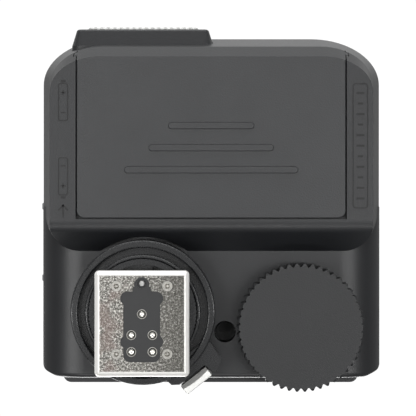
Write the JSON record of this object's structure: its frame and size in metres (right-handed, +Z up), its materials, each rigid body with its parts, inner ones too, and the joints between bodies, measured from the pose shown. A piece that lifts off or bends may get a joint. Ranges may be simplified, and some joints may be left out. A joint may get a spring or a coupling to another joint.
{
  "type": "wireless flash trigger",
  "caption": "Radio flash trigger with a locking hot-shoe foot, battery door, select dial, sloped display face and pass-through shoe.",
  "frame": {"origin": "on the lock ring's axis, which is also the foot's centre contact, at the foot plate's bottom face", "axes": "+X to the viewer's right, +Y towards the lens, +Z up out of the camera's shoe"},
  "size_m": [0.0705, 0.0742, 0.058],
  "materials": {
    "case_plastic": "fine moulded texture",
    "door_plastic": "fine moulded texture",
    "ring_plastic": "smooth satin",
    "insert_plastic": "smooth",
    "dial_plastic": "fine moulded texture",
    "foot_nickel": "blasted nickel plate with bright edges",
    "contact_silver": "polished plating",
    "pin_steel": "dark turned steel",
    "tab_metal": "bright plated steel",
    "spring_steel": "bright wire and strip",
    "screw_steel": "black zinc",
    "shoe_metal": "satin plated sheet",
    "shoe_plastic": "smooth",
    "shoe_contact_gold": "gold flash",
    "key_plastic": "satin",
    "switch_plastic": "satin grey",
    "mat_rubber": "silicone",
    "window_clear": "hard-coated, smoked",
    "lcd_glass": "polarised glass",
    "lcd_white": "white",
    "circuit_board": "solder mask",
    "component_black": "moulded",
    "socket_steel": "drawn shell",
    "lens_red": "clear red",
    "led_body": "ceramic and silicone",
    "status_clear": "frosted",
    "cell_jacket": "plastic sleeve over a steel can"
  },
  "bodies": {
    "root": {"bottom_case": "case_plastic", "top_case": "case_plastic", "lamp_housing": "case_plastic", "ring_retainer": "ring_plastic", "foot_post": "ring_plastic", "foot_insert": "insert_plastic", "foot_plate": "foot_nickel", "foot_rivets": "foot_nickel", "contact_springs": "spring_steel", "cell_springs": "spring_steel", "cell_plates": "spring_steel", "shoe_spring": "spring_steel", "case_screws": "screw_steel", "post_screws": "screw_steel", "shoe_screws": "screw_steel", "shoe_rails": "shoe_metal", "shoe_floor": "shoe_plastic", "shoe_contacts": "shoe_contact_gold", "keypad_mat": "mat_rubber", "display_window": "window_clear", "lcd_module": "lcd_glass", "lcd_frame": "lcd_white", "main_board": "circuit_board", "control_board": "circuit_board", "dial_encoder": "component_black", "beeper": "component_black", "switch_bodies": "component_black", "sync_jack": "component_black", "usb_port": "socket_steel", "lamp_lens": "lens_red", "lamp_led": "led_body", "status_lens": "status_clear", "aa_cells": "cell_jacket"},
    "battery_door": {"battery_door": "door_plastic"},
    "lock_ring": {"lock_ring": "ring_plastic", "lock_tab": "tab_metal"},
    "lock_pin": {"lock_pin": "pin_steel"},
    "select_dial": {"select_dial": "dial_plastic", "dial_shaft": "dial_plastic"},
    "contact_centre": {"contact_centre": "contact_silver"},
    "contact_front_left": {"contact_front_left": "contact_silver"},
    "contact_front_right": {"contact_front_right": "contact_silver"},
    "contact_rear_left": {"contact_rear_left": "contact_silver"},
    "contact_rear_right": {"contact_rear_right": "contact_silver"},
    "group_button_1": {"group_button_1": "key_plastic"},
    "group_button_2": {"group_button_2": "key_plastic"},
    "group_button_3": {"group_button_3": "key_plastic"},
    "group_button_4": {"group_button_4": "key_plastic"},
    "group_button_5": {"group_button_5": "key_plastic"},
    "function_button_1": {"function_button_1": "key_plastic"},
    "function_button_2": {"function_button_2": "key_plastic"},
    "function_button_3": {"function_button_3": "key_plastic"},
    "function_button_4": {"function_button_4": "key_plastic"},
    "set_button": {"set_button": "key_plastic"},
    "test_button": {"test_button": "key_plastic"},
    "power_switch": {"power_switch": "switch_plastic"},
    "lamp_switch": {"lamp_switch": "switch_plastic"}
  },
  "joints": [
    {"name": "door_slide", "type": "slide", "parent": "root", "child": "battery_door", "axis": [0, 1, 0], "range_m": [0, 0.039]},
    {"name": "ring_turn", "type": "hinge", "parent": "root", "child": "lock_ring", "pos_m": [0, 0, 0.008], "axis": [0, 0, 1], "range_deg": [0, 60]},
    {"name": "pin_drop", "type": "slide", "parent": "root", "child": "lock_pin", "axis": [0, 0, -1], "range_m": [0, 0.0015]},
    {"name": "dial_spin", "type": "hinge", "parent": "root", "child": "select_dial", "pos_m": [-0.0315, -0.0031, 0.009], "axis": [0, 0, 1], "continuous": true},
    {"name": "contact_centre_press", "type": "slide", "parent": "root", "child": "contact_centre", "axis": [0, 0, 1], "range_m": [0, 0.0005], "stiffness_N_per_m": 600, "springref_m": -0.001},
    {"name": "contact_front_left_press", "type": "slide", "parent": "root", "child": "contact_front_left", "axis": [0, 0, 1], "range_m": [0, 0.0005], "stiffness_N_per_m": 600, "springref_m": -0.001},
    {"name": "contact_front_right_press", "type": "slide", "parent": "root", "child": "contact_front_right", "axis": [0, 0, 1], "range_m": [0, 0.0005], "stiffness_N_per_m": 600, "springref_m": -0.001},
    {"name": "contact_rear_left_press", "type": "slide", "parent": "root", "child": "contact_rear_left", "axis": [0, 0, 1], "range_m": [0, 0.0005], "stiffness_N_per_m": 600, "springref_m": -0.001},
    {"name": "contact_rear_right_press", "type": "slide", "parent": "root", "child": "contact_rear_right", "axis": [0, 0, 1], "range_m": [0, 0.0005], "stiffness_N_per_m": 600, "springref_m": -0.001},
    {"name": "group_button_1_press", "type": "slide", "parent": "root", "child": "group_button_1", "axis": [0, 0.4534, -0.8913], "range_m": [0, 0.0006], "stiffness_N_per_m": 800, "springref_m": -0.0008},
    {"name": "group_button_2_press", "type": "slide", "parent": "root", "child": "group_button_2", "axis": [0, 0.4534, -0.8913], "range_m": [0, 0.0006], "stiffness_N_per_m": 800, "springref_m": -0.0008},
    {"name": "group_button_3_press", "type": "slide", "parent": "root", "child": "group_button_3", "axis": [0, 0.4534, -0.8913], "range_m": [0, 0.0006], "stiffness_N_per_m": 800, "springref_m": -0.0008},
    {"name": "group_button_4_press", "type": "slide", "parent": "root", "child": "group_button_4", "axis": [0, 0.4534, -0.8913], "range_m": [0, 0.0006], "stiffness_N_per_m": 800, "springref_m": -0.0008},
    {"name": "group_button_5_press", "type": "slide", "parent": "root", "child": "group_button_5", "axis": [0, 0.4534, -0.8913], "range_m": [0, 0.0006], "stiffness_N_per_m": 800, "springref_m": -0.0008},
    {"name": "function_button_1_press", "type": "slide", "parent": "root", "child": "function_button_1", "axis": [0, 0.4534, -0.8913], "range_m": [0, 0.0006], "stiffness_N_per_m": 800, "springref_m": -0.0008},
    {"name": "function_button_2_press", "type": "slide", "parent": "root", "child": "function_button_2", "axis": [0, 0.4534, -0.8913], "range_m": [0, 0.0006], "stiffness_N_per_m": 800, "springref_m": -0.0008},
    {"name": "function_button_3_press", "type": "slide", "parent": "root", "child": "function_button_3", "axis": [0, 0.4534, -0.8913], "range_m": [0, 0.0006], "stiffness_N_per_m": 800, "springref_m": -0.0008},
    {"name": "function_button_4_press", "type": "slide", "parent": "root", "child": "function_button_4", "axis": [0, 0.4534, -0.8913], "range_m": [0, 0.0006], "stiffness_N_per_m": 800, "springref_m": -0.0008},
    {"name": "set_button_press", "type": "slide", "parent": "root", "child": "set_button", "axis": [0, 0.4534, -0.8913], "range_m": [0, 0.0006], "stiffness_N_per_m": 800, "springref_m": -0.0008},
    {"name": "test_button_press", "type": "slide", "parent": "root", "child": "test_button", "axis": [-1, 0, 0], "range_m": [0, 0.0005], "stiffness_N_per_m": 800, "springref_m": -0.0008},
    {"name": "power_switch_slide", "type": "slide", "parent": "root", "child": "power_switch", "axis": [0, 1, 0], "range_m": [0, 0.0025]},
    {"name": "lamp_switch_slide", "type": "slide", "parent": "root", "child": "lamp_switch", "axis": [0, 1, 0], "range_m": [0, 0.0025]}
  ],
  "couplings": [
    {"joint": "pin_drop", "follows": "ring_turn", "m_per_rad": 0.00143}
  ]
}
